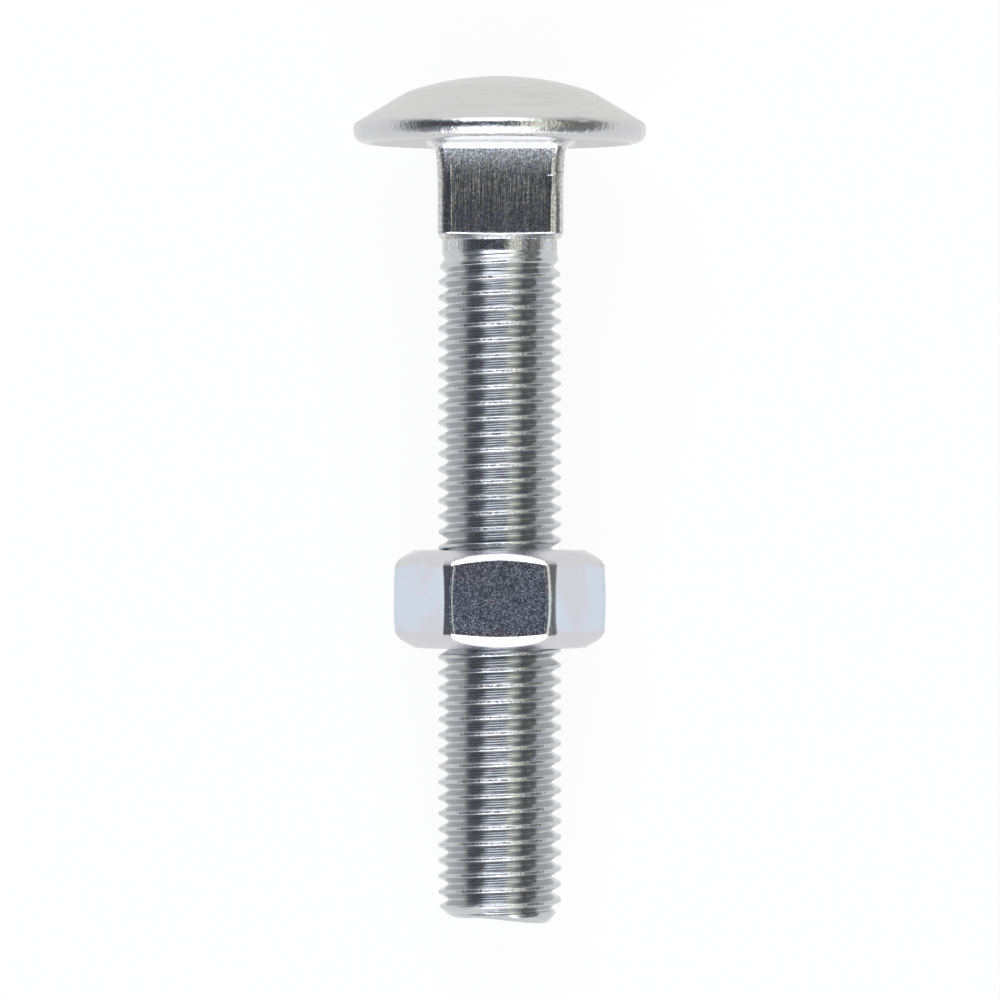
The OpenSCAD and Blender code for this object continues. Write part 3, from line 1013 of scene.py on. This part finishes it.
@dataclass(frozen=True)
class BoltZinc:
    """Bright zinc on the bolt: satin dome, drawn neck with grain and streaks, rolled thread.

    Relief is in millimetres. A grain's part is the share of its relief that a zone has.
    """

    dome_colour: Colour = (0.655, 0.65, 0.645, 1)
    neck_colour: Colour = (0.635, 0.625, 0.62, 1)
    thread_colour: Colour = (0.562, 0.565, 0.573, 1)
    rim_colour: Colour = (0.59, 0.59, 0.60, 1)
    blue_tint: Colour = (0.44, 0.52, 0.70, 1)
    warm_tint: Colour = (0.66, 0.63, 0.54, 1)
    # Painted highlight colour for the fillet under the head.
    highlight_colour: Colour = (0.92, 0.92, 0.93, 1)
    grain: Grain = Grain(3.0, 3.0, 0.62)
    patch: Grain = Grain(1.3, 3.0, 0.6)
    specks: Grain = Grain(2.2, 2.0, 0.5)
    streak: Grain = Grain(1.0, 3.0, 0.68, (4.6, 4.6, 0.045))
    brushed: Grain = Grain(1.0, 2.0, 0.6, (0.12, 0.5, 3.0))
    rolled: Grain = Grain(1.0, 3.0, 0.62, (0.1, 3.6, 1.0))
    chafed: Grain = Grain(1.0, 2.0, 0.6, (2.6, 3.2, 1.0))
    blue_share: Shade = (0.52, 0.7, 0.0, 0.75)
    thread_blue: float = 0.5
    warm_share: Shade = (0.56, 0.76, 0.0, 0.4)
    streak_shade: Shade = (0.3, 0.7, 0.76, 1.16)
    brushed_shade: Shade = (0.25, 0.75, 0.955, 1.03)
    # Painted shade under the head, by height.
    underside_painted_shade: Shade = (0.3, 1.2, 0.76, 1.0)
    grain_shade: Shade = (0.35, 0.65, 0.72, 1.2)
    highlight_share: Shade = (0.2, 0.95, 0.0, 0.85)
    dome_rough: float = 0.42
    neck_rough: float = 0.17
    thread_rough: float = 0.19
    patch_rough: float = 0.12
    grain_relief: float = 0.016
    rim_part: float = 2.3
    thread_part: float = 0.4
    neck_part: Shade = (-10.0, -4.5, 2.1, 1.2)
    rim_relief: float = 0.08
    streak_relief: float = 0.05
    streak_part: Shade = (-11.0, -5.0, 0.45, 1.0)
    rolled_relief: float = 0.012
    crest_relief: float = 0.6

    def material(self, lie: Lie) -> bpy.types.Material:
        """Builds the bolt's material.

        Args:
            lie: How the bolt lies in the row frame.

        Returns:
            The material.
        """
        material, r = Recipe.of_material("bolt_zinc")
        place = r.bolt_space(lie)
        lay = r.add("ShaderNodeUVMap", uv_map="lay").outputs[0]
        height_of = r.add("ShaderNodeSeparateXYZ", {0: place}).outputs[2]
        dome, neck, thread, highlight_and_crest = r.zones()
        bare = r.math("SUBTRACT", 1.0, dome)
        rim = r.math("SUBTRACT", r.math("SUBTRACT", bare, neck, clamp=True), thread, clamp=True)
        crest = r.product(r.math("SUBTRACT", highlight_and_crest, neck, clamp=True), thread)
        patterns = (self.grain, self.patch, self.specks, self.streak, self.brushed)
        grain, patch, specks, streak, brushed = (r.noise(place, pattern) for pattern in patterns)
        rolled, chafed = r.noise(lay, self.rolled), r.noise(lay, self.chafed)

        colour = r.blend(rim, self.dome_colour, self.rim_colour)
        colour = r.blend(neck, colour, self.neck_colour)
        colour = r.blend(thread, colour, self.thread_colour)
        blue = r.product(r.span(specks, *self.blue_share), r.plus(neck, thread, self.thread_blue))
        colour = r.blend(blue, colour, self.blue_tint)
        colour = r.blend(r.product(r.span(patch, *self.warm_share), bare), colour, self.warm_tint)
        colour = r.shaded(neck, colour, r.span(streak, *self.streak_shade))
        # Painted shade: the face under the head is darkened below a height of 1.2 mm, together with the
        # dome's real brushed streaks.
        under = r.span(height_of, *self.underside_painted_shade)
        colour = r.shaded(dome, colour, r.product(r.span(brushed, *self.brushed_shade), under))
        colour = r.shaded(neck, colour, r.span(grain, *self.grain_shade))
        # Painted highlight: where the fourth channel is strong, on the fillet under the head, the colour is
        # lightened towards near white.
        colour = r.blend(r.span(highlight_and_crest, *self.highlight_share), colour, self.highlight_colour)

        rough = r.plus(self.neck_rough, dome, self.dome_rough - self.neck_rough)
        rough = r.plus(rough, thread, self.thread_rough - self.neck_rough)
        rough = r.plus(rough, r.swing(patch, self.patch_rough))

        part = r.plus(r.product(rim, self.rim_part), neck, r.span(height_of, *self.neck_part))
        part = r.plus(part, thread, self.thread_part)
        height = r.product(r.swing(grain, self.grain_relief), part)
        height = r.plus(height, r.swing(patch, self.rim_relief), rim)
        drawn = r.product(r.swing(streak, self.streak_relief), r.span(height_of, *self.streak_part))
        height = r.plus(height, drawn, neck)
        height = r.plus(height, r.swing(rolled, self.rolled_relief), thread)
        height = r.plus(height, r.swing(chafed, self.crest_relief), crest)
        r.metal(colour, rough, height)
        return material


@dataclass(frozen=True)
class NutZinc:
    """Blue-white zinc on the nut, with a fine mottled grain on the flats. Relief is in millimetres."""

    colour: Colour = (0.62, 0.68, 0.765, 1)
    bevel_colour: Colour = (0.63, 0.625, 0.645, 1)
    dark_band_colour: Colour = (0.34, 0.36, 0.42, 1)
    lilac_tint: Colour = (0.64, 0.62, 0.67, 1)
    blue_tint: Colour = (0.46, 0.55, 0.80, 1)
    grain: Grain = Grain(4.6, 3.0, 0.75)
    cloud: Grain = Grain(0.16, 2.0, 0.5)
    mottle: Grain = Grain(1.1, 3.0, 0.7)
    specks: Grain = Grain(1.9, 2.0, 0.5)
    lilac_share: Shade = (0.42, 0.62, 0.0, 0.8)
    blue_share: Shade = (0.55, 0.75, 0.0, 0.3)
    dark_band_share: Shade = (0.3, 0.6, 1.0, 0.6)
    rough: float = 0.15
    mottle_rough: float = 0.14
    grain_raise: Span = (0.42, 0.85)
    grain_relief: float = 0.0105
    mottle_relief: float = 0.016

    def material(self, lie: Lie) -> bpy.types.Material:
        """Builds the nut's material.

        Args:
            lie: How the bolt lies in the row frame.

        Returns:
            The material.
        """
        material, r = Recipe.of_material("nut_zinc")
        place = r.bolt_space(lie)
        bevel, dark_band, _, _ = r.zones()
        patterns = (self.grain, self.cloud, self.mottle, self.specks)
        grain, cloud, mottle, specks = (r.noise(place, pattern) for pattern in patterns)
        colour = r.blend(r.span(cloud, *self.lilac_share), self.colour, self.lilac_tint)
        colour = r.blend(r.span(specks, *self.blue_share), colour, self.blue_tint)
        colour = r.blend(bevel, colour, self.bevel_colour)
        # Darker mottled band near the face edges of the front and back flats.
        colour = r.blend(r.product(dark_band, r.span(mottle, *self.dark_band_share)), colour, self.dark_band_colour)
        rough = r.plus(self.rough, r.swing(mottle, self.mottle_rough))
        height = r.product(r.span(grain, *self.grain_raise), self.grain_relief)
        r.metal(colour, rough, r.plus(height, mottle, self.mottle_relief))
        return material


@dataclass(frozen=True)
class StudioSky:
    """The studio round the bolt, as light by direction.

    Near the plane square to the bolt's axis the light depends on the angle round the axis from
    the front, further up or down the axis soft boxes are brighter, and along the axis each end
    has its own light. Stops are an angle in degrees and a radiance, grey or by colour.
    """

    belt: tuple[tuple[float, Tone], ...] = (
        (-180, 0.95), (-88, 0.93), (-74, (0.15, 0.15, 0.16)), (-58, (0.08, 0.08, 0.09)),
        (-50, (0.13, 0.13, 0.15)), (-40, (0.05, 0.05, 0.06)), (15, (0.05, 0.05, 0.07)),
        (21, (1.08, 1.08, 0.92)), (43, (1.08, 1.08, 0.97)), (50, 0.12), (60, 0.14),
        (67, (0.3, 0.3, 0.28)), (78, (0.3, 0.3, 0.28)), (83, 0.1), (92, 0.12), (103, 0.95), (180, 0.95),
    )
    boxes: tuple[tuple[float, Tone], ...] = (
        (-180, 0.95), (-100, 0.95), (-80, (0.32, 0.34, 0.38)), (-44, (0.22, 0.24, 0.29)),
        (-30, (1.5, 1.64, 1.85)), (12, (1.5, 1.64, 1.85)), (18, (1.3, 1.36, 1.36)),
        (23, (1.6, 1.72, 1.5)), (32, (1.6, 1.72, 1.5)), (41, (0.27, 0.29, 0.29)), (90, 0.26),
        (108, (0.75, 0.85, 1.0)), (128, (0.75, 0.88, 1.05)), (150, 0.95), (180, 0.95),
    )
    belt_head: Span = (0.26, 0.42)
    belt_point: Span = (0.07, 0.46)
    head_span: Span = (0.6, 0.78)
    head_end: Colour = (0.72, 0.72, 0.73, 1)
    point_span: Span = (-0.72, -0.9)
    point_end: Colour = (1.6, 1.6, 1.62, 1)

    def ramp(self, r: Recipe, angle: Link, stops: tuple[tuple[float, Tone], ...]) -> Link:
        """Turns an angle into a colour by the given stops.

        Args:
            r: The recipe that the nodes are added to.
            angle: Angle round the axis, from 0 at -180 degrees to 1 at 180 degrees.
            stops: Pairs of an angle in degrees and a radiance.

        Returns:
            The colour.
        """
        node = r.add("ShaderNodeValToRGB", {0: angle})
        elements = node.color_ramp.elements
        while len(elements) < len(stops):
            elements.new(1.0)
        for element, (degrees, tone) in zip(elements, stops):
            element.position = (degrees + 180) / 360
            element.color = (*np.broadcast_to(tone, 3).tolist(), 1)
        return node.outputs[0]

    def build(self, lie: Lie) -> None:
        """Writes the world: white to the camera, and the studio to everything else."""
        world = bpy.data.worlds.new("studio")
        bpy.context.scene.world = world
        world.use_nodes = True
        r = Recipe(world.node_tree)
        way = r.add("ShaderNodeTexCoord").outputs["Generated"]
        right, front, head = (
            r.add("ShaderNodeVectorMath", {0: way, 1: tuple(axis)}, operation="DOT_PRODUCT").outputs["Value"]
            for axis in (lie.right_way, lie.front_way, lie.head_way)
        )
        angle = r.math("MULTIPLY_ADD", r.math("ARCTAN2", right, front), 0.5 / math.pi, 0.5)
        off_belt = r.math(
            "MAXIMUM", r.span(head, *self.belt_head), r.span(r.product(head, -1.0), *self.belt_point)
        )
        light = r.blend(off_belt, self.ramp(r, angle, self.belt), self.ramp(r, angle, self.boxes))
        light = r.blend(r.span(head, *self.head_span), light, self.head_end)
        light = r.blend(r.span(head, *self.point_span), light, self.point_end)
        studio = r.add("ShaderNodeBackground", {"Color": light, "Strength": 1.0})
        plain = r.add("ShaderNodeBackground", {"Color": (1, 1, 1, 1), "Strength": 1.0})
        seen = r.add("ShaderNodeLightPath").outputs["Is Camera Ray"]
        mixed = r.add("ShaderNodeMixShader", {0: seen, 1: studio.outputs[0], 2: plain.outputs[0]})
        r.add("ShaderNodeOutputWorld", {"Surface": mixed.outputs[0]})


@dataclass(frozen=True)
class StudioFloor:
    """White floor at height 0, a large disc that keeps the object's shadow."""

    radius: float = 3.0
    corners: int = 64
    albedo: float = 0.82
    own_white: float = 0.93

    def build(self) -> bpy.types.Object:
        """Builds the floor as one disc and dresses it.

        Returns:
            The floor's object.
        """
        rim = polar(self.radius, np.linspace(0, 2 * math.pi, self.corners + 1)[:-1], 0.0)
        mesh = bpy.data.meshes.new("floor")
        mesh.from_pydata(rim.tolist(), [], [list(range(self.corners))])
        material, r = Recipe.of_material("floor_white")
        path = r.add("ShaderNodeLightPath")
        seen = r.math("MAXIMUM", path.outputs["Is Camera Ray"], path.outputs["Is Glossy Ray"])
        matt = r.add("ShaderNodeBsdfDiffuse", {"Color": (self.albedo,) * 3 + (1,)})
        white = r.add("ShaderNodeEmission", {"Color": (1, 1, 1, 1), "Strength": 1.0})
        inputs = {0: r.product(seen, self.own_white), 1: matt.outputs[0], 2: white.outputs[0]}
        r.add("ShaderNodeOutputMaterial", {"Surface": r.add("ShaderNodeMixShader", inputs).outputs[0]})
        mesh.materials.append(material)
        floor = link("floor", mesh)
        return floor


@dataclass(frozen=True)
class SoftLamp:
    """A soft square lamp that looks at the middle of the bolt.

    Attributes:
        name: Name of the lamp.
        way: Direction from the bolt: right, front and towards the head.
        distance: Distance in metres.
        side: Width in metres.
        power: Power in watts.
    """

    name: str
    way: tuple[float, float, float]
    distance: float = 1.2
    side: float = 1.1
    power: float = 5.6

    def build(self, lie: Lie, middle: np.ndarray) -> bpy.types.Object:
        """Places the lamp and aims it.

        Args:
            lie: How the bolt lies in the row frame.
            middle: Point that the lamp looks at.

        Returns:
            The lamp's object.
        """
        direction = np.array(self.way) @ np.stack([lie.right_way, lie.front_way, lie.head_way])
        direction /= np.linalg.norm(direction)
        light = bpy.data.lights.new(self.name, "AREA")
        light.shape = "SQUARE"
        light.size = self.side
        light.energy = self.power
        lamp = link(self.name, light)
        lamp.location = middle + direction * self.distance
        lamp.rotation_mode = "QUATERNION"
        lamp.rotation_quaternion = Vector(direction).to_track_quat("Z", "Y")
        return lamp


@dataclass(frozen=True)
class PhotoCamera:
    """The camera of the photograph: square to the bolt's axis, above its front.

    Its distance and clipping are in metres, and the rest is in millimetres.
    """

    distance: float = 1.01
    clipping: Span = (0.01, 50.0)
    aim_depth: float = 45.6
    view_width: float = 127.96
    offset_x: float = 0.03
    sensor: float = 36.0

    def build(self, lie: Lie) -> bpy.types.Object:
        """Places the camera and makes it the scene's.

        Args:
            lie: How the bolt lies in the row frame.

        Returns:
            The camera's object.
        """
        data = bpy.data.cameras.new("photo_camera")
        data.sensor_width = self.sensor
        data.lens = self.sensor * self.distance / (self.view_width * MM)
        data.clip_start, data.clip_end = self.clipping
        camera = link("photo_camera", data)
        aim = lie.place(np.array([self.offset_x, 0.0, -self.aim_depth]))
        camera.location = aim + lie.front_way * self.distance
        turn = Matrix(np.stack([lie.right_way, lie.head_way, lie.front_way], 1).tolist())
        camera.rotation_mode = "QUATERNION"
        camera.rotation_quaternion = turn.to_quaternion()
        bpy.context.scene.camera = camera
        return camera


def main() -> None:
    """Builds the bolt, the nut and the studio, and reports each piece."""
    logging.basicConfig(level=logging.INFO, format="%(name)s: %(message)s")
    lie = Lie.from_record(frame["record"])
    bpy.context.scene.view_settings.view_transform = "Standard"
    camera = PhotoCamera()
    camera.build(lie)
    bolt = CarriageBolt().make(lie, BoltZinc())
    nut = HexNut().make(lie, NutZinc())
    StudioFloor().build()
    StudioSky().build(lie)
    middle = lie.place(np.array([0.0, 0.0, -camera.aim_depth]))
    for name, towards_head in (("lamp_head_end", 0.72), ("lamp_point_end", -0.72)):
        SoftLamp(name, (-0.1, 0.7, towards_head)).build(lie, middle)


if __name__ == "__main__":
    main()
